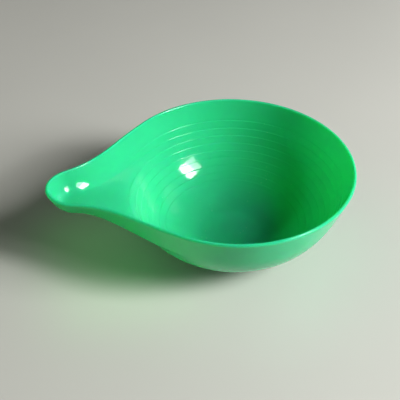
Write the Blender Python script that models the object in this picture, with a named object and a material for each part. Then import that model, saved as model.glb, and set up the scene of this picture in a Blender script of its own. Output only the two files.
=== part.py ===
"""Hair colour bowl: one thin moulded shell, a round bowl that runs out into an open trough for a handle.

Blender 4.5, metres, +Z up. The origin is at the middle of the flat base, on the bowl's axis, and the
handle runs along -X. A level is a depth below the rim plane, and every level's outline is one closed
curve: the bowl's circle and the trough's tongue, joined by a rounded neck.
"""

import math

import bmesh
import bpy
import numpy as np

# Bowl.
RIM_RADIUS = 0.070
HEIGHT = 0.0535
BASE_RADIUS = 0.0185
WALL = 0.0019
WALL_DRAFT = math.radians(19.4)
STRAIGHT_DEPTH = 0.0162

# Trough handle: its length beyond the rim, and how far its root circle's centre lies inside the rim.
HANDLE_LENGTH = 0.0385
HANDLE_ROOT_INSET = 0.0175
HANDLE_TIP_RADIUS = 0.0164
HANDLE_ROOT_RADIUS = 0.0278
HANDLE_DEPTH = 0.0132
HANDLE_FLOOR_FALL = 0.14
HANDLE_FLOOR_ROUNDING = 0.006
HANDLE_SECTION_POWER = 3.1
NECK_BLEND = 0.0275
SHOULDER_RATE = 3.0
SHOULDER_ROUNDING = 0.0018

# Measuring ledges on the inner wall, evenly spaced along its slope from the first to the last.
RING_COUNT = 9
FIRST_RING_LEVEL = 0.0125
LAST_RING_HEIGHT = 0.008
RING_LEDGE = 0.0002
RING_LEDGE_DEPTH = 0.0004
RING_FADE = 0.006

# Fineness of the mesh.
STATIONS = 72
OUTER_ROWS = 22
INNER_ROWS = 20
LIP_STEPS = 4
TRACE_STEPS = 500
SEARCH_STEPS = 34
SLOPE_STEP = 0.00002

# Worked out from the sizes above.
LIP_RADIUS = 0.5 * WALL / math.cos(WALL_DRAFT)
RIM_PLANE = HEIGHT - LIP_RADIUS
HANDLE_REACH = RIM_RADIUS + HANDLE_LENGTH
HANDLE_TIP_X = HANDLE_REACH - HANDLE_TIP_RADIUS
HANDLE_ROOT_X = RIM_RADIUS - HANDLE_ROOT_INSET


def body_radius(level):
    """Outer radius of the round bowl: a straight drafted wall, then one arc that meets it and the base."""
    sine, cosine = math.sin(WALL_DRAFT), math.cos(WALL_DRAFT)
    straight_end = RIM_RADIUS - STRAIGHT_DEPTH * math.tan(WALL_DRAFT)
    inwards = straight_end - BASE_RADIUS
    down = RIM_PLANE - STRAIGHT_DEPTH
    arc_radius = (inwards**2 + down**2) / (2 * (inwards * cosine - down * sine))
    centre_radius = straight_end - arc_radius * cosine
    centre_level = STRAIGHT_DEPTH - arc_radius * sine
    arc = centre_radius + np.sqrt(np.maximum(arc_radius**2 - (level - centre_level) ** 2, 0))
    return np.where(level < STRAIGHT_DEPTH, RIM_RADIUS - level * math.tan(WALL_DRAFT), arc)


def positive_part(value, rounding):
    """The value where it is positive, zero elsewhere, and one arc of a parabola between the two."""
    arc = np.clip(value + rounding, 0, 2 * rounding) ** 2 / (4 * rounding)
    return arc + np.maximum(value - rounding, 0)


def trough_gap(along, across, level):
    """How far a point lies outside the trough: a true distance at the rim plane, a measure below it.

    Seen from above, the trough is the outline around two circles, one at its root and one at its tip.
    A point's place on the centre line is the foot of its normal to the nearer flank. There the
    section is a flat-bottomed U: the share of the half width, raised to a power, and the share of
    the depth add up to one. Below the floor the gap grows fast, from a rounded start.
    """
    taper_sine = (HANDLE_ROOT_RADIUS - HANDLE_TIP_RADIUS) / (HANDLE_TIP_X - HANDLE_ROOT_X)
    taper_cosine = math.sqrt(1 - taper_sine**2)
    foot = along - across * taper_sine / taper_cosine
    centre = np.clip(foot, HANDLE_ROOT_X, HANDLE_TIP_X)
    half_width = HANDLE_TIP_RADIUS + (HANDLE_TIP_X - centre) * taper_sine
    from_centre = np.where(foot == centre, across / taper_cosine, np.hypot(along - centre, across))
    fall = positive_part(HANDLE_TIP_X - along, HANDLE_FLOOR_ROUNDING)
    floor_level = HANDLE_DEPTH + HANDLE_FLOOR_FALL * fall
    share = (from_centre / half_width) ** HANDLE_SECTION_POWER + level / floor_level
    swelling = np.maximum(share, 0) ** (1 / HANDLE_SECTION_POWER)
    below_floor = positive_part(level - floor_level, SHOULDER_ROUNDING)
    return half_width * (swelling - 1) + SHOULDER_RATE * below_floor


def shell_gap(x, y, level):
    """How far a point lies outside the shell's outer outline: bowl and trough with a blended neck."""
    bowl = np.hypot(x, y) - body_radius(level)
    trough = trough_gap(-x, np.abs(y), level)
    closeness = np.maximum(NECK_BLEND - np.abs(bowl - trough), 0) / NECK_BLEND
    return np.minimum(bowl, trough) - closeness**2 * NECK_BLEND / 4


def outline_radius(angle, level):
    """Distance from the bowl's axis to the outline, found by halving along each direction."""
    near = np.zeros_like(angle)
    far = np.full_like(angle, HANDLE_REACH + NECK_BLEND)
    for _ in range(SEARCH_STEPS):
        middle = (near + far) / 2
        inside = shell_gap(-middle * np.cos(angle), middle * np.sin(angle), level) < 0
        near = np.where(inside, middle, near)
        far = np.where(inside, far, middle)
    return (near + far) / 2


def outline(level):
    """STATIONS points around one level, evenly spaced along the outline from the handle's tip."""
    angle = np.linspace(0, math.pi, TRACE_STEPS)
    radius = outline_radius(angle, level)
    x, y = -radius * np.cos(angle), radius * np.sin(angle)
    run = np.concatenate([[0], np.cumsum(np.hypot(np.diff(x), np.diff(y)))])
    even = np.linspace(0, run[-1], STATIONS // 2 + 1)
    x, y = np.interp(even, run, x), np.interp(even, run, y)
    y[0] = y[-1] = 0
    x, y = np.concatenate([x, x[-2:0:-1]]), np.concatenate([y, -y[-2:0:-1]])
    return np.stack([x, y], axis=1)


def outward(points, level):
    """Unit normals of the outer surface, from the slope of shell_gap in each direction."""
    x, y = points[:, 0], points[:, 1]
    step = SLOPE_STEP
    slope = np.stack(
        [
            shell_gap(x + step, y, level) - shell_gap(x - step, y, level),
            shell_gap(x, y + step, level) - shell_gap(x, y - step, level),
            shell_gap(x, y, level - step) - shell_gap(x, y, level + step),
        ],
        axis=1,
    )
    return slope / np.linalg.norm(slope, axis=1, keepdims=True)


def spread_levels(count):
    """Levels whose rows lie about evenly along both the handle's middle line and the wall opposite."""
    level = np.linspace(0, RIM_PLANE, TRACE_STEPS)
    run = 0
    for angle in (0.0, math.pi):
        radius = np.array([outline_radius(np.array([angle]), one)[0] for one in level])
        length = np.concatenate([[0], np.cumsum(np.hypot(np.diff(radius), np.diff(level)))])
        run = run + length / length[-1]
    return np.interp(np.linspace(0, run[-1], count), run, level)


def ring_levels():
    """Levels of the ledges, evenly spaced along the wall's slope between the first and the last."""
    level = np.linspace(FIRST_RING_LEVEL, RIM_PLANE - LAST_RING_HEIGHT, TRACE_STEPS)
    run = np.concatenate([[0], np.cumsum(np.hypot(np.diff(body_radius(level)), np.diff(level)))])
    return np.interp(np.linspace(0, run[-1], RING_COUNT), run, level)


def ledge_knots():
    """Levels just above and just below each ledge, with the wall's gain there as a share of a ledge."""
    middle = ring_levels()
    above, below = middle - RING_LEDGE_DEPTH / 2, middle + RING_LEDGE_DEPTH / 2
    level = np.stack([above, below], axis=1).ravel()
    share = np.tile([-0.5, 0.5], RING_COUNT)
    return level, share


def wall_gain(points, level):
    """Extra wall at each point: a saw over the ledges, fading where the outline leaves the bowl's circle."""
    knots, share = ledge_knots()
    run_in, run_out = knots[2] - knots[0], knots[-1] - knots[-3]
    knots = np.concatenate([[knots[0] - run_in], knots, [knots[-1] + run_out]])
    share = np.concatenate([[0], share, [0]])
    away = np.hypot(points[:, 0], points[:, 1]) - body_radius(level)
    fade = np.clip(1 - away / RING_FADE, 0, 1)
    return RING_LEDGE * np.interp(level, knots, share) * fade


def row_at(points, level):
    """The points as 3D points at this level."""
    return np.column_stack([points, np.full(len(points), RIM_PLANE - level)])


def outer_rows():
    """Rows up the outside, from the base's edge to the rim plane."""
    return [row_at(outline(level), level) for level in spread_levels(OUTER_ROWS)[::-1]]


def lip_rows():
    """Rows over the full-round lip, after the outer rim row and up to the inner one."""
    edge = outline(0.0)
    normal = outward(edge, 0.0)[:, :2]
    normal = normal / np.linalg.norm(normal, axis=1, keepdims=True)
    rows = []
    for step in range(1, LIP_STEPS + 1):
        turn = math.pi * step / LIP_STEPS
        points = edge - normal * LIP_RADIUS * (1 - math.cos(turn))
        rows.append(row_at(points, -LIP_RADIUS * math.sin(turn)))
    return rows


def inner_rows():
    """Rows down the inside: the outer surface moved in by the wall, with the ledges."""
    ledges = ledge_knots()[0]
    plain = spread_levels(INNER_ROWS)[1:]
    clear = np.abs(plain[:, None] - ledges).min(axis=1) > RING_LEDGE_DEPTH
    clear[-1] = True
    rows = []
    for level in np.sort(np.concatenate([plain[clear], ledges])):
        points = outline(level)
        offset = WALL + wall_gain(points, level)
        rows.append(row_at(points, level) - outward(points, level) * offset[:, None])
    return rows


def shell_mesh():
    """The closed shell: outside, lip, inside, and a flat face for the base and for the floor."""
    shell = bmesh.new()
    rows = []
    for points in outer_rows() + lip_rows() + inner_rows():
        rows.append([shell.verts.new(point) for point in points])
    for lower, upper in zip(rows, rows[1:]):
        for index in range(STATIONS):
            after = (index + 1) % STATIONS
            shell.faces.new((lower[after], lower[index], upper[index], upper[after]))
    shell.faces.new(rows[0])
    shell.faces.new(rows[-1][::-1])
    bmesh.ops.recalc_face_normals(shell, faces=shell.faces)
    mesh = bpy.data.meshes.new("bowl")
    shell.to_mesh(mesh)
    shell.free()
    return mesh


def green_plastic():
    """Glossy, slightly see-through green polypropylene."""
    material = bpy.data.materials.new("green_polypropylene")
    material.use_nodes = True
    shader = material.node_tree.nodes["Principled BSDF"]
    shader.inputs["Base Color"].default_value = (0.035, 0.62, 0.24, 1.0)
    shader.inputs["Roughness"].default_value = 0.28
    shader.inputs["Metallic"].default_value = 0.0
    return material


def main():
    """Clear the scene and build the bowl."""
    for old in list(bpy.data.objects):
        bpy.data.objects.remove(old, do_unlink=True)
    mesh = shell_mesh()
    mesh.materials.append(green_plastic())
    mesh.shade_smooth()
    mesh.set_sharp_from_angle(angle=math.radians(40))
    bpy.context.scene.collection.objects.link(bpy.data.objects.new("mixing_bowl", mesh))


main()
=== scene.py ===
"""Finished look of a hair colour bowl: one thin moulded shell with a trough handle, on a floor.

The shell's surface is worked out with numpy from a few sizes. A level is a depth below the rim
plane. At each level the outline is the bowl's circle joined to the trough's tongue by a rounded
neck, the inside is the outside moved in by the wall, and fine ledges step the inner wall.
Everything is in metres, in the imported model's own frame, with the handle along -X and +Z up.
"""

from __future__ import annotations

import logging
import math
from dataclasses import dataclass, field
from enum import Enum

import bpy
import numpy as np
import numpy.typing as npt
from mathutils import Matrix, Vector


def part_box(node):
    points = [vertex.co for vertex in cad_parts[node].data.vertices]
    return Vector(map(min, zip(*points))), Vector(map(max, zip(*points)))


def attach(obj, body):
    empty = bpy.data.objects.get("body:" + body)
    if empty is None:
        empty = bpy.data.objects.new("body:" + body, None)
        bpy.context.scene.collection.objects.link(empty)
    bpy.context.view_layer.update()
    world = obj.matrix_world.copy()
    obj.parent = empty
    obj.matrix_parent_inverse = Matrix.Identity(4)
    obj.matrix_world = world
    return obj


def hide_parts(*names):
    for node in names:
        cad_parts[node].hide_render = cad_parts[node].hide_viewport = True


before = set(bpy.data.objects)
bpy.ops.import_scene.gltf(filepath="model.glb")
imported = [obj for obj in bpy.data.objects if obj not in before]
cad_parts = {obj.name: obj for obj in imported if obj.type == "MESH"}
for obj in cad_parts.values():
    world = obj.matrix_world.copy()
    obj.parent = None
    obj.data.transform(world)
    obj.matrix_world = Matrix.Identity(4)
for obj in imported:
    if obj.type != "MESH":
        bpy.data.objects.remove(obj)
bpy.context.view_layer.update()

Values = npt.NDArray[np.float64]
Colour = tuple[float, float, float]
Span = tuple[float, float]
Node = bpy.types.Node
Socket = bpy.types.NodeSocket
Sockets = dict[str, bpy.types.NodeSocket]
Inlets = bpy.types.bpy_prop_collection

MM = 0.001
# Between these two lie most values of a noise texture.
NOISE_SPAN: Span = (0.3, 0.7)

log = logging.getLogger("colour_bowl")


# ------------------------------------------------------------------------------------------
# Shape
# ------------------------------------------------------------------------------------------


class Side(Enum):
    """Which half of the mould shaped a face of the shell; the value is its material slot."""

    CAVITY = 0
    CORE = 1


@dataclass(frozen=True)
class BowlBody:
    """The round bowl: a straight drafted wall that runs into one arc, which meets the flat base.

    Attributes:
        rim_radius: Outer radius at the rim plane.
        rim_plane: Height of the rim plane above the base.
        base_radius: Radius of the flat base.
        draft: Angle of the straight wall from upright.
        straight_depth: How far below the rim plane the straight wall goes.
    """

    rim_radius: float
    rim_plane: float
    base_radius: float = 18.5 * MM
    draft: float = math.radians(19.4)
    straight_depth: float = 16.2 * MM

    def radius(self, level: Values) -> Values:
        """Outer radius: a line down to the straight wall's end, then the arc that is tangent to it.

        Args:
            level: Depths below the rim plane.

        Returns:
            The outer radius at each depth.
        """
        sine, cosine, slope = math.sin(self.draft), math.cos(self.draft), math.tan(self.draft)
        straight_end = self.rim_radius - self.straight_depth * slope
        inwards = straight_end - self.base_radius
        down = self.rim_plane - self.straight_depth
        arc_radius = (inwards**2 + down**2) / (2 * (inwards * cosine - down * sine))
        centre_radius = straight_end - arc_radius * cosine
        centre_level = self.straight_depth - arc_radius * sine
        arc = centre_radius + np.sqrt(np.maximum(arc_radius**2 - (level - centre_level) ** 2, 0))
        return np.where(level < self.straight_depth, self.rim_radius - level * slope, arc)


@dataclass(frozen=True)
class TroughHandle:
    """The open trough: an outline around two circles, with a flat-bottomed U for its section.

    Attributes:
        root_x: Distance of the root circle's centre from the bowl's axis.
        tip_x: Distance of the tip circle's centre from the bowl's axis.
        root_radius: Half width at the root circle, at the rim plane.
        tip_radius: Half width at the tip circle, at the rim plane.
        depth: Depth of the trough's underside at the tip circle.
        floor_fall: How much deeper the underside gets for each metre towards the bowl.
        floor_rounding: How far before and past the tip circle's centre that fall sets in.
        section_power: How square the U is.
        shoulder_rate: How fast the outline draws back below the underside.
        shoulder_rounding: How far above and below the underside that drawing back sets in.
    """

    root_x: float
    tip_x: float
    root_radius: float = 27.8 * MM
    tip_radius: float = 16.4 * MM
    depth: float = 13.2 * MM
    floor_fall: float = 0.14
    floor_rounding: float = 6.0 * MM
    section_power: float = 3.1
    shoulder_rate: float = 3.0
    shoulder_rounding: float = 1.8 * MM

    def gap(self, along: Values, across: Values, level: Values) -> Values:
        """How far a point lies outside the trough: a true distance at the rim plane.

        The point's place on the centre line is the foot of its normal to the nearer flank. There
        the share of the half width, raised to a power, and the share of the depth add up to one.
        Below the underside the gap grows fast, from a rounded start.

        Args:
            along: Distances from the bowl's axis towards the tip.
            across: Distances from the handle's middle plane.
            level: Depths below the rim plane.

        Returns:
            Distances in metres, negative inside.
        """
        taper_sine = (self.root_radius - self.tip_radius) / (self.tip_x - self.root_x)
        taper_cosine = math.sqrt(1 - taper_sine**2)
        foot = along - across * taper_sine / taper_cosine
        centre = np.clip(foot, self.root_x, self.tip_x)
        half_width = self.tip_radius + (self.tip_x - centre) * taper_sine
        on_flank = foot == centre
        from_centre = np.where(on_flank, across / taper_cosine, np.hypot(along - centre, across))
        from_tip = self.positive_part(self.tip_x - along, self.floor_rounding)
        floor_level = self.depth + self.floor_fall * from_tip
        share = (from_centre / half_width) ** self.section_power + level / floor_level
        swelling = np.maximum(share, 0) ** (1 / self.section_power)
        below_floor = self.positive_part(level - floor_level, self.shoulder_rounding)
        return half_width * (swelling - 1) + self.shoulder_rate * below_floor

    @staticmethod
    def positive_part(value: Values, rounding: float) -> Values:
        """The value where positive, zero elsewhere, and one arc of a parabola between the two.

        Args:
            value: Any values.
            rounding: How far the arc reaches on each side of zero.

        Returns:
            Values of the same shape, none negative.
        """
        arc = np.clip(value + rounding, 0, 2 * rounding) ** 2 / (4 * rounding)
        return arc + np.maximum(value - rounding, 0)


@dataclass(frozen=True)
class MeasuringLedges:
    """Fine upward-facing ledges that ring the inner wall and fade out into the neck.

    Attributes:
        first_level: Depth of the highest ledge below the rim plane.
        last_level: Depth of the lowest ledge below the rim plane.
        count: Number of ledges.
        step: How far each ledge stands in from the wall above it.
        drop: Depth that one ledge takes up.
        fade: How far past the bowl's own circle the ledges vanish.
    """

    first_level: float
    last_level: float
    count: int = 9
    step: float = 0.2 * MM
    drop: float = 0.4 * MM
    fade: float = 6.0 * MM

    # Steps along the wall when the ledges are spaced.
    TRACE = 600

    def levels(self, body: BowlBody) -> Values:
        """Levels of the ledges: equal lengths of the wall's slope from the first to the last.

        Args:
            body: The bowl whose wall carries the ledges.

        Returns:
            One depth for each ledge.
        """
        level = np.linspace(self.first_level, self.last_level, self.TRACE)
        length = np.hypot(np.diff(body.radius(level)), np.diff(level))
        run = np.concatenate([[0.0], np.cumsum(length)])
        return np.interp(np.linspace(0, run[-1], self.count), run, level)

    def gain(self, away: Values, level: Values, middles: Values) -> Values:
        """Extra wall: a saw wave over the level whose jumps are smooth ramps, faded by distance.

        Between two ledges the wall thins evenly by one step. Over a ledge's own drop it thickens by
        the step again, along a smooth S.

        Args:
            away: How far the outline lies outside the bowl's circle.
            level: Depths below the rim plane.
            middles: The ledges' levels.

        Returns:
            Extra wall in metres.
        """
        spacing = np.diff(middles)
        lead = np.concatenate([[middles[0] - spacing[0]], middles, [middles[-1] + spacing[-1]]])
        place = np.interp(level, lead, np.arange(len(lead), dtype=float))
        nearest = np.round(place)
        offset = level - np.interp(nearest, np.arange(len(lead)), lead)
        climbed = self.smooth(offset / self.drop + 0.5)
        real = (nearest >= 1) & (nearest <= self.count)
        saw = np.where(real, nearest - place + climbed - 0.5, 0)
        last = len(lead) - 1
        ends = np.where(nearest < 1, -place, np.where(nearest > self.count, last - place, 0))
        within = (place > 0) & (place < last)
        return self.step * np.where(within, saw + 0.5 * ends, 0) * self.smooth(1 - away / self.fade)

    @staticmethod
    def smooth(share: Values) -> Values:
        """An S from 0 to 1: three times the share's square less twice its cube, held in between."""
        held = np.clip(share, 0, 1)
        return held * held * (3 - 2 * held)


@dataclass
class ColourBowl:
    """The whole bowl: body, trough handle, lip, ledges, floor and base as one closed shell.

    Attributes:
        low: Lowest corner of the solid that the shell stands for.
        high: Highest corner of the solid that the shell stands for.
        wall: Thickness of the wall.
        handle_inset: How far the handle's root circle has its centre inside the rim.
        handle_tip_radius: Half width of the trough at its tip circle.
        neck: Size of the blend between the bowl and the trough.
        first_ledge_level: Depth of the highest ledge below the rim plane.
        last_ledge_height: Height of the lowest ledge above the base's underside.
        base_hollow: How far the base's underside rises at its middle, from shrinkage.
        stations: Points around each outline.
        outer_rows: Outlines up the outside.
        inner_rows: Outlines down the inside, before those of the ledges join them.
        lip_rows: Outlines over the lip.
        disc_rows: Rings in the base and in the inner floor.
        body: The round bowl, worked out from the corners.
        handle: The trough, worked out from the corners.
        ledges: The measuring ledges.
        lip_radius: Radius of the lip's full round.
        rim_plane: Height of the lip's widest outline, where the levels start.
    """

    low: Vector
    high: Vector
    wall: float = 1.9 * MM
    handle_inset: float = 17.5 * MM
    handle_tip_radius: float = 16.4 * MM
    neck: float = 27.5 * MM
    first_ledge_level: float = 12.5 * MM
    last_ledge_height: float = 8.0 * MM
    base_hollow: float = 0.3 * MM
    stations: int = 352
    outer_rows: int = 74
    inner_rows: int = 84
    lip_rows: int = 10
    disc_rows: int = 8
    body: BowlBody = field(init=False)
    handle: TroughHandle = field(init=False)
    ledges: MeasuringLedges = field(init=False)
    lip_radius: float = field(init=False)
    rim_plane: float = field(init=False)

    # Steps of the tracing around and down, and of the halving; then the rows over each ledge.
    TRACE_AROUND = 900
    TRACE_DOWN = 1600
    SEARCH = 36
    SLOPE_STEP = 0.02 * MM
    LEDGE_SPREAD = 0.62
    LEDGE_ROWS = 8

    def __post_init__(self) -> None:
        """Works out the sub-parts' places from the solid's corners."""
        rim_radius = float(self.high.x)
        self.lip_radius = 0.5 * self.wall / math.cos(BowlBody.draft)
        self.rim_plane = float(self.high.z) - self.lip_radius
        self.body = BowlBody(rim_radius, self.rim_plane)
        root_x = rim_radius - self.handle_inset
        tip_x = -float(self.low.x) - self.handle_tip_radius
        self.handle = TroughHandle(root_x, tip_x, tip_radius=self.handle_tip_radius)
        last_level = self.rim_plane - self.last_ledge_height
        self.ledges = MeasuringLedges(self.first_ledge_level, last_level)

    def shell_gap(self, x: Values, y: Values, level: Values) -> Values:
        """How far a point lies outside the shell's outer outline.

        The smaller of the gaps to the bowl and to the trough, less a quarter of the neck's size
        times the square of how close the two gaps are, which rounds the neck.

        Args:
            x: X of each point.
            y: Y of each point.
            level: Depth of each point below the rim plane.

        Returns:
            Distances in metres, negative inside.
        """
        bowl = np.hypot(x, y) - self.body.radius(level)
        trough = self.handle.gap(-x, np.abs(y), level)
        closeness = np.maximum(self.neck - np.abs(bowl - trough), 0) / self.neck
        return np.minimum(bowl, trough) - closeness**2 * self.neck / 4

    def reach_at(self, angle: Values, level: Values) -> Values:
        """Distance from the bowl's axis to the outline, halved down along each direction.

        Args:
            angle: Directions from the handle's own direction.
            level: Depths below the rim plane, of a shape that spreads against the directions.

        Returns:
            The distance for each direction and level.
        """
        shape = np.broadcast_shapes(angle.shape, level.shape)
        near = np.zeros(shape)
        far = np.full(shape, -float(self.low.x) + self.neck)
        for _ in range(self.SEARCH):
            middle = (near + far) / 2
            inside = self.shell_gap(-middle * np.cos(angle), middle * np.sin(angle), level) < 0
            near = np.where(inside, middle, near)
            far = np.where(inside, far, middle)
        return (near + far) / 2

    def outlines(self, level: Values) -> Values:
        """Outer outlines at several levels, each evenly spaced along its length from the tip.

        Args:
            level: One depth for each row.

        Returns:
            An array of rows, stations and the three coordinates.
        """
        angle = np.linspace(0, math.pi, self.TRACE_AROUND)[None, :]
        reach = self.reach_at(angle, level[:, None])
        x, y = -reach * np.cos(angle), reach * np.sin(angle)
        length = np.hypot(np.diff(x, axis=1), np.diff(y, axis=1))
        run = np.concatenate([np.zeros((len(level), 1)), np.cumsum(length, axis=1)], axis=1)
        half = self.stations // 2
        even = np.linspace(0, 1, half + 1)
        near_x = np.stack([np.interp(even * one[-1], one, row) for one, row in zip(run, x)])
        near_y = np.stack([np.interp(even * one[-1], one, row) for one, row in zip(run, y)])
        near_y[:, [0, -1]] = 0
        ring_x = np.concatenate([near_x, near_x[:, half - 1 : 0 : -1]], axis=1)
        ring_y = np.concatenate([near_y, -near_y[:, half - 1 : 0 : -1]], axis=1)
        height = np.broadcast_to((self.rim_plane - level)[:, None], ring_x.shape)
        return np.stack([ring_x, ring_y, height], axis=2)

    def outward(self, points: Values) -> Values:
        """Unit normals of the outer surface: the slope of shell_gap in each direction, scaled to 1.

        Args:
            points: Points on the outer surface.

        Returns:
            Normals of the same shape.
        """
        x, y, level = points[..., 0], points[..., 1], self.rim_plane - points[..., 2]
        step = self.SLOPE_STEP
        slope = np.stack(
            [
                self.shell_gap(x + step, y, level) - self.shell_gap(x - step, y, level),
                self.shell_gap(x, y + step, level) - self.shell_gap(x, y - step, level),
                self.shell_gap(x, y, level - step) - self.shell_gap(x, y, level + step),
            ],
            axis=-1,
        )
        return slope / np.linalg.norm(slope, axis=-1, keepdims=True)

    def spread(self, count: int) -> Values:
        """Levels whose rows lie about evenly along the handle's middle line and the wall opposite.

        Args:
            count: Number of levels.

        Returns:
            Depths from the rim plane to the base.
        """
        level = np.linspace(0, self.rim_plane, self.TRACE_DOWN)
        angle = np.array([[0.0], [math.pi]])
        reach = self.reach_at(angle, level[None, :])
        length = np.hypot(np.diff(reach, axis=1), np.diff(level)[None, :])
        run = np.concatenate([np.zeros((2, 1)), np.cumsum(length, axis=1)], axis=1)
        run = (run / run[:, -1:]).sum(axis=0)
        return np.interp(np.linspace(0, run[-1], count), run, level)

    def lip(self, edge: Values) -> Values:
        """The full-round lip: half a circle from the outer rim row over to the inner one.

        Args:
            edge: The outline at the rim plane.

        Returns:
            Rows between the two rim rows, with the inner one last.
        """
        normal = self.outward(edge)
        normal[:, 2] = 0
        normal /= np.linalg.norm(normal, axis=1, keepdims=True)
        turn = (math.pi * np.arange(1, self.lip_rows + 1) / self.lip_rows)[:, None, None]
        rise = np.array([0.0, 0.0, self.lip_radius])
        return edge - normal * self.lip_radius * (1 - np.cos(turn)) + rise * np.sin(turn)

    def inside(self) -> Values:
        """The inner wall: outer points moved in along their normals by the wall and the ledges.

        Returns:
            Rows from just below the lip down to the edge of the inner floor.
        """
        middles = self.ledges.levels(self.body)
        drop = self.ledges.drop
        across_ledge = drop * np.linspace(-self.LEDGE_SPREAD, self.LEDGE_SPREAD, self.LEDGE_ROWS)
        steps = (middles[:, None] + across_ledge).ravel()
        plain = self.spread(self.inner_rows)[1:]
        clear = np.abs(plain[:, None] - middles).min(axis=1) > drop
        clear[-1] = True
        level = np.sort(np.concatenate([plain[clear], steps]))
        outer = self.outlines(level)
        away = np.hypot(outer[..., 0], outer[..., 1]) - self.body.radius(level)[:, None]
        thickness = self.wall + self.ledges.gain(away, level[:, None], middles)
        return outer - self.outward(outer) * thickness[..., None]

    def disc(self, edge: Values, centre_lift: float) -> Values:
        """A disc inside a closed row: its points drawn towards the centre in even shares.

        Args:
            edge: The row around the disc.
            centre_lift: How far the middle lies above the row, on a smooth swell.

        Returns:
            Rows from just inside the edge towards the centre, without the centre point.
        """
        share = np.linspace(1, 0, self.disc_rows + 1)[1:-1, None, None]
        rows = edge[None] * np.array([1, 1, 0]) * share
        swell = (1 - share**2) ** 2 * centre_lift
        rows[..., 2] = edge[:, 2] + swell[..., 0]
        return rows

    def mesh(self) -> bpy.types.Mesh:
        """Joins all rows into one closed mesh, with a fan of triangles at each pole.

        Returns:
            The mesh, with its faces' material slots set by side.
        """
        outer = self.outlines(self.spread(self.outer_rows)[::-1])
        rim = outer[-1]
        inner = self.inside()
        base = self.disc(outer[0], self.base_hollow)[::-1]
        floor = self.disc(inner[-1], 0.0)
        rows = np.concatenate([base, outer, self.lip(rim), inner, floor])
        poles = np.array([[0, 0, base[0, 0, 2]], [0, 0, floor[-1, 0, 2]]])
        points = np.concatenate([rows.reshape(-1, 3), poles])

        count, around = len(rows), self.stations
        here = np.arange(count - 1)[:, None] * around + np.arange(around)
        after = np.arange(count - 1)[:, None] * around + np.roll(np.arange(around), -1)
        quads = np.stack([here, here + around, after + around, after], axis=-1).reshape(-1, 4)
        first, last = np.arange(around), np.arange(around) + (count - 1) * around
        start = np.stack([np.full(around, len(points) - 2), first, np.roll(first, -1)], axis=1)
        finish = np.stack([np.full(around, len(points) - 1), np.roll(last, -1), last], axis=1)

        mesh = bpy.data.meshes.new("bowl_shell")
        mesh.from_pydata(points.tolist(), [], quads.tolist() + start.tolist() + finish.tolist())
        lip_start = len(base) + len(outer) - 1
        row_of = np.repeat(np.arange(count - 1), around)
        side = np.where(row_of >= lip_start, Side.CORE.value, Side.CAVITY.value)
        ends = np.repeat([Side.CAVITY.value, Side.CORE.value], around)
        slots = np.concatenate([side, ends])
        mesh.polygons.foreach_set("material_index", slots.astype(np.int32))
        mesh.polygons.foreach_set("use_smooth", np.ones(len(slots), dtype=bool))
        mesh.update()
        return mesh

    def build(self, plastic: MouldedPlastic) -> bpy.types.Object:
        """Makes the shell, dresses it and puts it in the frame in place of the plain solid.

        Args:
            plastic: The finish of both sides.

        Returns:
            The finished piece.
        """
        mesh = self.mesh()
        for side in Side:
            mesh.materials.append(plastic.material(side))
        piece = bpy.data.objects.new("bowl_shell", mesh)
        bpy.context.scene.collection.objects.link(piece)
        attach(piece, "root")
        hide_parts("mixing_bowl")
        return piece


# ------------------------------------------------------------------------------------------
# Finishes
# ------------------------------------------------------------------------------------------


class Graph:
    """A shader node tree, with short calls that add, set and join its nodes."""

    def __init__(self, tree: bpy.types.NodeTree) -> None:
        """Keeps the tree.

        Args:
            tree: A material's or a group's tree.
        """
        self.tree = tree

    def add(self, kind: str, options: dict[str, object] | None = None, **inputs: object) -> Node:
        """Adds a node, sets its options, and sets or joins its inputs.

        Args:
            kind: The node's type, without the leading "ShaderNode".
            options: Settings of the node itself.
            **inputs: A value or an output socket for each input; an underscore stands for a space,
                and i0, i1 and so on stand for an input's place.

        Returns:
            The new node.
        """
        node = self.tree.nodes.new("ShaderNode" + kind)
        for name, value in (options or {}).items():
            setattr(node, name, value)
        for name, value in inputs.items():
            numbered = name[0] == "i" and name[1:].isdigit()
            socket = node.inputs[int(name[1:]) if numbered else name.replace("_", " ")]
            if isinstance(value, bpy.types.NodeSocket):
                self.tree.links.new(value, socket)
            else:
                socket.default_value = value
        return node

    def math(self, operation: str, *values: object) -> Socket:
        """Adds a Math node and gives its output."""
        inputs = {f"i{place}": value for place, value in enumerate(values)}
        return self.add("Math", {"operation": operation}, **inputs).outputs[0]

    def noise(self, place: Socket, scale: object, **inputs: object) -> Socket:
        """Adds a Noise Texture node at a place and gives its value."""
        return self.add("TexNoise", None, Vector=place, Scale=scale, **inputs).outputs[0]

    def ranged(self, value: object, span: Span, to_low: float, to_high: float) -> Socket:
        """Adds a Map Range node that clamps, and gives its result.

        Args:
            value: The value to map.
            span: The values that give to_low and to_high.
            to_low: The result at the span's first value.
            to_high: The result at the span's second value.

        Returns:
            The result's socket.
        """
        spans = {"i1": span[0], "i2": span[1], "i3": to_low, "i4": to_high}
        return self.add("MapRange", {"clamp": True}, i0=value, **spans).outputs[0]


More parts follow.
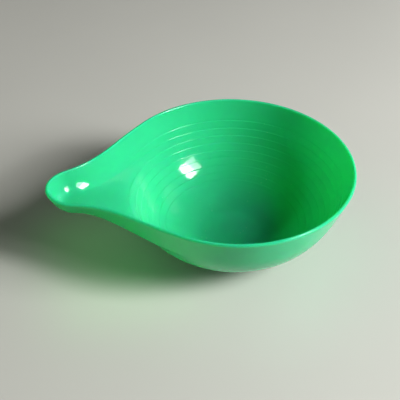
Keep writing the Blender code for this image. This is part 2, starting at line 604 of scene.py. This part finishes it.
class Effect:
    """A shader node group, built once, that any finish can place with its own values."""

    name = "effect"
    takes: dict[str, tuple[str, object]] = {}
    gives: dict[str, str] = {}
    KINDS = {"value": "NodeSocketFloat", "colour": "NodeSocketColor", "vector": "NodeSocketVector"}

    @classmethod
    def group(cls) -> bpy.types.NodeTree:
        """The node group, made on the first call.

        Returns:
            The group's tree, with its sockets and nodes.
        """
        if cls.name in bpy.data.node_groups:
            return bpy.data.node_groups[cls.name]
        tree = bpy.data.node_groups.new(cls.name, "ShaderNodeTree")
        for name, (kind, default) in cls.takes.items():
            socket = tree.interface.new_socket(name, in_out="INPUT", socket_type=cls.KINDS[kind])
            socket.default_value = default
        for name, kind in cls.gives.items():
            tree.interface.new_socket(name, in_out="OUTPUT", socket_type=cls.KINDS[kind])
        inlet, outlet = tree.nodes.new("NodeGroupInput"), tree.nodes.new("NodeGroupOutput")
        made = cls.wire(Graph(tree), inlet.outputs)
        for name, socket in made.items():
            tree.links.new(socket, outlet.inputs[name])
        return tree

    @classmethod
    def wire(cls, graph: Graph, given: Inlets) -> Sockets:
        """Builds the group's inner nodes.

        Args:
            graph: The group's tree.
            given: The group's inputs by name.

        Returns:
            A socket for each of the group's outputs.
        """
        raise NotImplementedError

    @classmethod
    def place(cls, graph: Graph, **inputs: object) -> Node:
        """Places the group in a tree with its own values.

        Args:
            graph: The tree that uses the effect.
            **inputs: A value or a socket for each input; an underscore stands for a space.

        Returns:
            The group node.
        """
        node = graph.tree.nodes.new("ShaderNodeGroup")
        node.node_tree = cls.group()
        for name, value in inputs.items():
            socket = node.inputs[name.replace("_", " ")]
            if isinstance(value, bpy.types.NodeSocket):
                graph.tree.links.new(value, socket)
            else:
                socket.default_value = value
        return node


class ToneDrift(Effect):
    """Slow drift of a colour's strength, as pigment mixes unevenly in a melt."""

    name = "tone_drift"
    takes = {
        "Place": ("vector", (0, 0, 0)),
        "Colour": ("colour", (0.5, 0.5, 0.5, 1)),
        "Amount": ("value", 0.05),
        "Scale": ("value", 30.0),
    }
    gives = {"Colour": "colour"}

    OCTAVE_SHARE = 0.55

    @classmethod
    def wire(cls, graph: Graph, given: Inlets) -> Sockets:
        """Scales the colour by one plus the amount times two octaves of noise about zero."""
        cloud = graph.noise(given["Place"], given["Scale"], Detail=3.0, Roughness=cls.OCTAVE_SHARE)
        about = graph.math("SUBTRACT", cloud, 0.5)
        gain = graph.math("MULTIPLY_ADD", about, given["Amount"], 1.0)
        scaled = graph.add("VectorMath", {"operation": "SCALE"}, i0=given["Colour"], i3=gain)
        return {"Colour": scaled.outputs[0]}


class TurningMarks(Effect):
    """Fine level lines that a lathe left in the mould, which ring the bowl at even heights."""

    name = "turning_marks"
    takes = {
        "Place": ("vector", (0, 0, 0)),
        "Pitch": ("value", 0.0011),
        "Wander": ("value", 0.6),
    }
    gives = {"Height": "value"}

    WANDER_SCALE = 22.0
    # How fast the strength changes from one line to the next, and what it runs between.
    CHANGE = 0.37
    CHANGE_SPAN = (0.35, 0.7)
    FAINTEST = 0.1

    @classmethod
    def wire(cls, graph: Graph, given: Inlets) -> Sockets:
        """A sine of the height over the pitch, its strength varied by noise around the bowl."""
        split = graph.add("SeparateXYZ", None, i0=given["Place"])
        turns = graph.math("DIVIDE", split.outputs[2], given["Pitch"])
        wander = graph.noise(given["Place"], cls.WANDER_SCALE, Detail=2.0)
        shifted = graph.math("MULTIPLY_ADD", wander, given["Wander"], turns)
        wave = graph.math("SINE", graph.math("MULTIPLY", shifted, math.tau))
        flat = graph.add("CombineXYZ", None, i2=graph.math("MULTIPLY", turns, cls.CHANGE))
        drift = graph.noise(flat.outputs[0], 1.0, Detail=2.0)
        strength = graph.ranged(drift, cls.CHANGE_SPAN, cls.FAINTEST, 1.0)
        return {"Height": graph.math("MULTIPLY", wave, strength)}


class HandlingScuffs(Effect):
    """Short hairline scratches in two crossing directions, gathered in worn patches."""

    name = "handling_scuffs"
    takes = {
        "Place": ("vector", (0, 0, 0)),
        "Scale": ("value", 260.0),
        "Wear": ("value", 0.3),
    }
    gives = {"Mask": "value"}

    PATCH_SCALE = 18.0
    PATCH_SPAN = (0.35, 0.65)
    # A patch counts as worn where this share of its value lies under the wear.
    WORN_SHARE = 0.9
    OUTSIDE_WORN = 0.25
    # Turn and stretch of each of the two sets of lines.
    DIRECTIONS = ((0.6, (1.0, 0.035, 0.2)), (2.1, (1.0, 0.05, 0.3)))
    TILT = 0.3
    CREST_SPAN = (0.0, 0.012)

    @classmethod
    def wire(cls, graph: Graph, given: Inlets) -> Sockets:
        """Thin crests of stretched noise, kept only where a slow noise passes the wear's level."""
        patches = graph.noise(given["Place"], cls.PATCH_SCALE, Detail=3.0)
        limit = graph.math("MULTIPLY", patches, cls.WORN_SHARE)
        worn = graph.math("GREATER_THAN", given["Wear"], limit)
        soft = graph.ranged(patches, cls.PATCH_SPAN, 1.0, 0.0)
        crests = []
        for turn, stretch in cls.DIRECTIONS:
            turns = {"Rotation": (cls.TILT, turn, turn), "Scale": stretch}
            turned = graph.add("Mapping", None, Vector=given["Place"], **turns)
            lines = graph.noise(turned.outputs[0], given["Scale"], Detail=1.0)
            near = graph.math("ABSOLUTE", graph.math("SUBTRACT", lines, 0.5))
            crests.append(graph.ranged(near, cls.CREST_SPAN, 1.0, 0.0))
        both = graph.math("MAXIMUM", *crests)
        raised = graph.math("ADD", worn, cls.OUTSIDE_WORN)
        kept = graph.math("MULTIPLY", both, graph.math("MULTIPLY", soft, raised))
        return {"Mask": graph.math("MINIMUM", kept, 1.0)}


class MouldRipple(Effect):
    """The faint orange peel and slow swells of a polished, slightly shrunk moulding."""

    name = "mould_ripple"
    takes = {
        "Place": ("vector", (0, 0, 0)),
        "Fine Scale": ("value", 900.0),
        "Slow Scale": ("value", 60.0),
        "Fine Share": ("value", 0.15),
    }
    gives = {"Height": "value"}

    @classmethod
    def wire(cls, graph: Graph, given: Inlets) -> Sockets:
        """Slow noise plus a share of fine noise."""
        slow = graph.noise(given["Place"], given["Slow Scale"], Detail=2.0)
        fine = graph.noise(given["Place"], given["Fine Scale"], Detail=2.0)
        return {"Height": graph.math("MULTIPLY_ADD", fine, given["Fine Share"], slow)}


class DustSpecks(Effect):
    """Small pale specks that lie on faces that look up."""

    name = "dust_specks"
    takes = {
        "Place": ("vector", (0, 0, 0)),
        "Scale": ("value", 420.0),
        "Amount": ("value", 0.1),
    }
    gives = {"Mask": "value"}

    EDGE_SPAN = (0.05, 0.16)
    RARITY_SCALE = 130.0
    RARITY_SPAN = (0.56, 0.66)
    UPWARD_SPAN = (0.2, 0.9)

    @classmethod
    def wire(cls, graph: Graph, given: Inlets) -> Sockets:
        """Cell centres within a small radius, thinned by noise and by how level the face is."""
        cells = graph.add("TexVoronoi", None, Vector=given["Place"], Scale=given["Scale"])
        speck = graph.ranged(cells.outputs["Distance"], cls.EDGE_SPAN, 1.0, 0.0)
        rare = graph.noise(given["Place"], cls.RARITY_SCALE, Detail=1.0)
        kept = graph.ranged(rare, cls.RARITY_SPAN, 0.0, 1.0)
        normal = graph.add("NewGeometry").outputs["Normal"]
        level = graph.add("SeparateXYZ", None, i0=normal).outputs[2]
        upward = graph.ranged(level, cls.UPWARD_SPAN, 0.0, 1.0)
        here = graph.math("MULTIPLY", graph.math("MULTIPLY", speck, kept), upward)
        return {"Mask": graph.math("MULTIPLY", here, given["Amount"])}


@dataclass(frozen=True)
class MouldedPlastic:
    """Glossy, slightly see-through green polypropylene, as the two halves of a mould leave it.

    Attributes:
        colour: The plastic's own colour.
        worn_colour: Colour where scuffs have whitened it.
        dust_colour: Colour of dust.
        roughness: Roughness of the polished core side, which is the inside.
        cavity_roughness: Roughness of the cavity side, which is the outside.
        scatter_depth: How far light spreads inside the wall.
        scatter_reach: Shares of that depth that red, green and blue light reach.
        refraction: Index of refraction.
        scuff_whitening: How far scuffs pull the colour to worn_colour.
        scuff_roughness: Roughness that a scuff adds.
        scuff_height: Height that a scuff adds, as a share of bump_height.
        dust_roughness: Roughness that dust adds.
        bump_height: Height of the fine relief.
        bump_strength: Strength of the fine relief.
        tone_amount: How far the colour's strength drifts.
        tone_scale: Scale of that drift.
        haze_scale: Scale of the cloudy patches in the gloss.
        haze: Roughness that those patches take off and add.
        dust_amount: Share of a speck's colour that dust shows.
        mark_pitch: Height from one turning mark to the next.
        core_marks: Height of the turning marks inside, as a share of bump_height.
        cavity_marks: Height of the turning marks outside, as a share of bump_height.
        core_wear: How widely the inside is scuffed.
        cavity_wear: How widely the outside is scuffed.
    """

    colour: Colour = (0.042, 0.50, 0.255)
    worn_colour: Colour = (0.35, 0.85, 0.6)
    dust_colour: Colour = (0.7, 0.72, 0.68)
    roughness: float = 0.08
    cavity_roughness: float = 0.15
    scatter_depth: float = 9.0 * MM
    scatter_reach: Colour = (0.15, 0.85, 0.45)
    refraction: float = 1.49
    scuff_whitening: float = 0.015
    scuff_roughness: float = 0.05
    scuff_height: float = -0.005
    dust_roughness: float = 0.5
    bump_height: float = 0.08 * MM
    bump_strength: float = 0.5
    tone_amount: float = 0.08
    tone_scale: float = 26.0
    haze_scale: float = 34.0
    haze: Span = (-0.03, 0.04)
    dust_amount: float = 0.25
    mark_pitch: float = 1.1 * MM
    core_marks: float = 0.05
    cavity_marks: float = 0.02
    core_wear: float = 0.32
    cavity_wear: float = 0.42

    def material(self, side: Side) -> bpy.types.Material:
        """Builds the material of one side.

        Args:
            side: The mould half that shaped the faces.

        Returns:
            The material, on Object coordinates.
        """
        material = bpy.data.materials.new(f"green_plastic_{side.name.lower()}")
        material.use_nodes = True
        tree = material.node_tree
        tree.nodes.clear()
        graph = Graph(tree)
        place = graph.add("TexCoord").outputs["Object"]
        core = side is Side.CORE

        drift = {"Amount": self.tone_amount, "Scale": self.tone_scale}
        tone = ToneDrift.place(graph, Place=place, Colour=(*self.colour, 1), **drift)
        wear = self.core_wear if core else self.cavity_wear
        scuffs = HandlingScuffs.place(graph, Place=place, Wear=wear)
        dust = DustSpecks.place(graph, Place=place, Amount=self.dust_amount)
        scuffed, dusted = scuffs.outputs["Mask"], dust.outputs["Mask"]
        worn = graph.math("MULTIPLY", scuffed, self.scuff_whitening)
        marked = self.blend(graph, worn, tone.outputs["Colour"], self.worn_colour)
        dusty = self.blend(graph, dusted, marked, self.dust_colour)

        base = self.roughness if core else self.cavity_roughness
        cloud = graph.noise(place, self.haze_scale, Detail=4.0)
        smoother, rougher = self.haze
        rough = graph.ranged(cloud, NOISE_SPAN, base + smoother, base + rougher)
        rough = graph.math("MULTIPLY_ADD", scuffed, self.scuff_roughness, rough)
        rough = graph.math("MULTIPLY_ADD", dusted, self.dust_roughness, rough)

        ripple = MouldRipple.place(graph, Place=place)
        marks = TurningMarks.place(graph, Place=place, Pitch=self.mark_pitch)
        lines, share = marks.outputs["Height"], self.core_marks if core else self.cavity_marks
        height = graph.math("MULTIPLY_ADD", lines, share, ripple.outputs[0])
        height = graph.math("MULTIPLY_ADD", scuffed, self.scuff_height, height)
        relief = {"Strength": self.bump_strength, "Distance": self.bump_height}
        bump = graph.add("Bump", None, Height=height, **relief)

        shader = graph.add("BsdfPrincipled", None, Roughness=rough, Normal=bump.outputs[0])
        tree.links.new(dusty, shader.inputs["Base Color"])
        shader.inputs["Metallic"].default_value = 0.0
        shader.inputs["IOR"].default_value = self.refraction
        shader.inputs["Subsurface Weight"].default_value = 1.0
        shader.inputs["Subsurface Radius"].default_value = self.scatter_reach
        shader.inputs["Subsurface Scale"].default_value = self.scatter_depth
        output = graph.add("OutputMaterial")
        tree.links.new(shader.outputs[0], output.inputs["Surface"])
        return material

    @staticmethod
    def blend(graph: Graph, share: object, under: object, over: Colour) -> Socket:
        """Lays a colour over another by a mask.

        Args:
            graph: The material's tree.
            share: The mask.
            under: The colour below.
            over: The colour on top.

        Returns:
            The mixed colour.
        """
        mixed = graph.add("Mix", {"data_type": "RGBA"}, i0=share, i6=under, i7=(*over, 1))
        return mixed.outputs[2]


@dataclass(frozen=True)
class FloorFinish:
    """Pale, nearly even tile with a soft sheen.

    Attributes:
        colour: The floor's colour.
        roughness: Roughness where it is smoothest.
        haze: Roughness that cloudy patches add.
        haze_scale: Scale of those patches.
        tone_amount: How far the colour's strength drifts.
        tone_scale: Scale of that drift.
    """

    colour: Colour = (0.53, 0.53, 0.49)
    roughness: float = 0.34
    haze: float = 0.08
    haze_scale: float = 12.0
    tone_amount: float = 0.05
    tone_scale: float = 7.0

    def material(self) -> bpy.types.Material:
        """Builds the floor's material.

        Returns:
            The material, on Object coordinates.
        """
        material = bpy.data.materials.new("pale_floor")
        material.use_nodes = True
        tree = material.node_tree
        graph = Graph(tree)
        place = graph.add("TexCoord").outputs["Object"]
        drift = {"Amount": self.tone_amount, "Scale": self.tone_scale}
        tone = ToneDrift.place(graph, Place=place, Colour=(*self.colour, 1), **drift)
        shader = tree.nodes["Principled BSDF"]
        tree.links.new(tone.outputs[0], shader.inputs["Base Color"])
        cloud = graph.noise(place, self.haze_scale, Detail=3.0)
        rough = graph.ranged(cloud, NOISE_SPAN, self.roughness, self.roughness + self.haze)
        tree.links.new(rough, shader.inputs["Roughness"])
        return material


# ------------------------------------------------------------------------------------------
# Studio
# ------------------------------------------------------------------------------------------


@dataclass(frozen=True)
class SoftBox:
    """A rectangular soft light.

    Attributes:
        name: The light's name.
        azimuth: Direction from the bowl in degrees, anticlockwise from +X.
        elevation: Height of the direction in degrees.
        distance: Distance from the bowl.
        size: Width and height.
        power: Power in watts.
        colour: Colour of the light.
        mirrored: Whether glossy surfaces show it.
    """

    name: str
    azimuth: float
    elevation: float
    distance: float
    size: tuple[float, float]
    power: float
    colour: Colour = (1.0, 1.0, 1.0)
    mirrored: bool = True

    def build(self, aim: Vector) -> bpy.types.Object:
        """Makes the light and turns it to the aim.

        Args:
            aim: The point that it faces.

        Returns:
            The light's object.
        """
        light = bpy.data.lights.new(self.name, "AREA")
        light.shape = "RECTANGLE"
        light.size, light.size_y = self.size
        light.energy = self.power
        light.color = self.colour
        turn, rise = math.radians(self.azimuth), math.radians(self.elevation)
        level = math.cos(rise)
        towards = Vector((math.cos(turn) * level, math.sin(turn) * level, math.sin(rise)))
        lamp = bpy.data.objects.new(self.name, light)
        lamp.visible_glossy = self.mirrored
        lamp.visible_camera = False
        lamp.location = aim + towards * self.distance
        lamp.rotation_euler = towards.to_track_quat("Z", "Y").to_euler()
        bpy.context.scene.collection.objects.link(lamp)
        return lamp


@dataclass(frozen=True)
class Viewpoint:
    """The camera, placed by the point it looks at, its direction and its roll.

    Attributes:
        target: The point in the middle of the view.
        azimuth: Direction in degrees: 0 looks along +Y, and 90 along -X.
        elevation: Height of the direction in degrees.
        roll: Turn about the view's axis in degrees.
        distance: Distance from the target.
        lens: Focal length in millimetres.
        sensor: Width of the sensor in millimetres.
        nearest: Distance in front of the camera where the view begins.
    """

    target: Vector
    azimuth: float = -14.101
    elevation: float = 39.546
    roll: float = 0.473
    distance: float = 0.41166
    lens: float = 67.91
    sensor: float = 36.0
    nearest: float = 0.01

    def build(self) -> bpy.types.Object:
        """Makes the camera and sets it as the scene's own.

        Returns:
            The camera's object.
        """
        turn, rise = math.radians(self.azimuth), math.radians(self.elevation)
        level = math.cos(rise)
        back = Vector((math.sin(turn) * level, -math.cos(turn) * level, math.sin(rise)))
        right = Vector((math.cos(turn), math.sin(turn), 0.0))
        axes = Matrix((right, back.cross(right), back)).transposed()
        camera = bpy.data.cameras.new("camera")
        camera.lens = self.lens
        camera.sensor_width = self.sensor
        camera.clip_start = self.nearest
        viewer = bpy.data.objects.new("camera", camera)
        place = Matrix.Translation(self.target + back * self.distance)
        tilt = Matrix.Rotation(math.radians(self.roll), 4, "Z")
        viewer.matrix_world = place @ axes.to_4x4() @ tilt
        bpy.context.scene.collection.objects.link(viewer)
        bpy.context.scene.camera = viewer
        return viewer


@dataclass
class Studio:
    """Pale floor, window-like light from the front right, weak room light, and the camera.

    Attributes:
        rim_plane: Height of the bowl's rim, which the lights and the camera face.
        floor_size: Side of the square floor.
        floor_gap: How far the floor lies below the base.
        room_light: Strength of the even light.
        backdrop_light: Brightness of the room where the view meets it.
        room_colour: Colour of the even light and of the backdrop.
        view_centre: Where the middle of the view meets the rim plane.
    """

    rim_plane: float
    floor_size: float = 6.0
    floor_gap: float = 0.1 * MM
    room_light: float = 0.02
    backdrop_light: float = 0.5
    room_colour: Colour = (0.97, 1.0, 0.97)
    view_centre: Span = (-27.1 * MM, -26.8 * MM)

    WINDOW = (
        SoftBox("window_bright", -33.0, 39.0, 1.4, (0.26, 0.46), 12.0),
        SoftBox("window_dim", -46.0, 38.5, 1.4, (0.27, 0.44), 4.0),
        SoftBox("window_wide", -30.0, 25.0, 1.4, (0.4, 0.36), 16.0, mirrored=False),
    )
    ROOM = (
        SoftBox("side_wall", 16.0, 32.0, 1.4, (0.8, 0.4), 0.6),
        SoftBox("doorway", 42.0, 9.0, 1.6, (0.7, 0.2), 0.7),
        SoftBox("room_left", 160.0, 13.0, 1.6, (2.0, 0.6), 8.0, (1.0, 0.97, 0.9), mirrored=False),
        SoftBox("left_wall", 170.0, 55.0, 1.4, (1.0, 0.8), 0.3, mirrored=False),
        SoftBox("far_wall", 76.0, 38.0, 1.4, (1.6, 0.9), 0.4, mirrored=False),
    )
    # Stands in for the light that comes through the wall onto the floor below the handle.
    GLOW_COLOUR = (0.2, 1.0, 0.22)
    GLOW = SoftBox(
        "green_glow", 180.0, 90.0, 0.026, (0.09, 0.10), 0.007, GLOW_COLOUR, mirrored=False
    )
    GLOW_PLACE = Vector((-0.07, -0.012, 0.0))

    def floor(self, finish: FloorFinish) -> bpy.types.Object:
        """Makes a plain square floor just below the base.

        Args:
            finish: The floor's finish.

        Returns:
            The floor's object.
        """
        half = self.floor_size / 2
        corners = [(-half, -half), (half, -half), (half, half), (-half, half)]
        mesh = bpy.data.meshes.new("studio_floor")
        mesh.from_pydata([(x, y, -self.floor_gap) for x, y in corners], [], [(0, 1, 2, 3)])
        mesh.materials.append(finish.material())
        floor = bpy.data.objects.new("studio_floor", mesh)
        bpy.context.scene.collection.objects.link(floor)
        return floor

    def room(self) -> None:
        """Sets an even light from all around, and a brighter backdrop where the view meets it."""
        world = bpy.data.worlds.new("room")
        world.use_nodes = True
        graph = Graph(world.node_tree)
        seen = graph.add("LightPath").outputs["Is Camera Ray"]
        strength = graph.ranged(seen, (0.0, 1.0), self.room_light, self.backdrop_light)
        backdrop = world.node_tree.nodes["Background"]
        backdrop.inputs["Color"].default_value = (*self.room_colour, 1.0)
        world.node_tree.links.new(strength, backdrop.inputs["Strength"])
        bpy.context.scene.world = world

    def lights(self) -> list[bpy.types.Object]:
        """Makes the window's panes, the room's pale walls and the glow under the handle.

        Returns:
            The lights' objects.
        """
        aim = Vector((0.0, 0.0, self.rim_plane))
        lamps = [box.build(aim) for box in (*self.WINDOW, *self.ROOM)]
        return [*lamps, self.GLOW.build(self.GLOW_PLACE)]

    def build(self) -> None:
        """Makes the floor, the lights and the camera."""
        self.floor(FloorFinish())
        self.room()
        self.lights()
        Viewpoint(Vector((*self.view_centre, self.rim_plane))).build()
        view = bpy.context.scene.view_settings
        view.view_transform = "Standard"
        view.look = "Medium High Contrast"


def main() -> None:
    """Builds the studio and the bowl, and reports each piece."""
    logging.basicConfig(level=logging.INFO, format="%(message)s")
    low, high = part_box("mixing_bowl")
    bowl = ColourBowl(Vector(low), Vector(high))
    Studio(bowl.rim_plane).build()
    piece = bowl.build(MouldedPlastic())
    log.info("%s: %d faces", piece.name, len(piece.data.polygons))


if __name__ == "__main__":
    main()
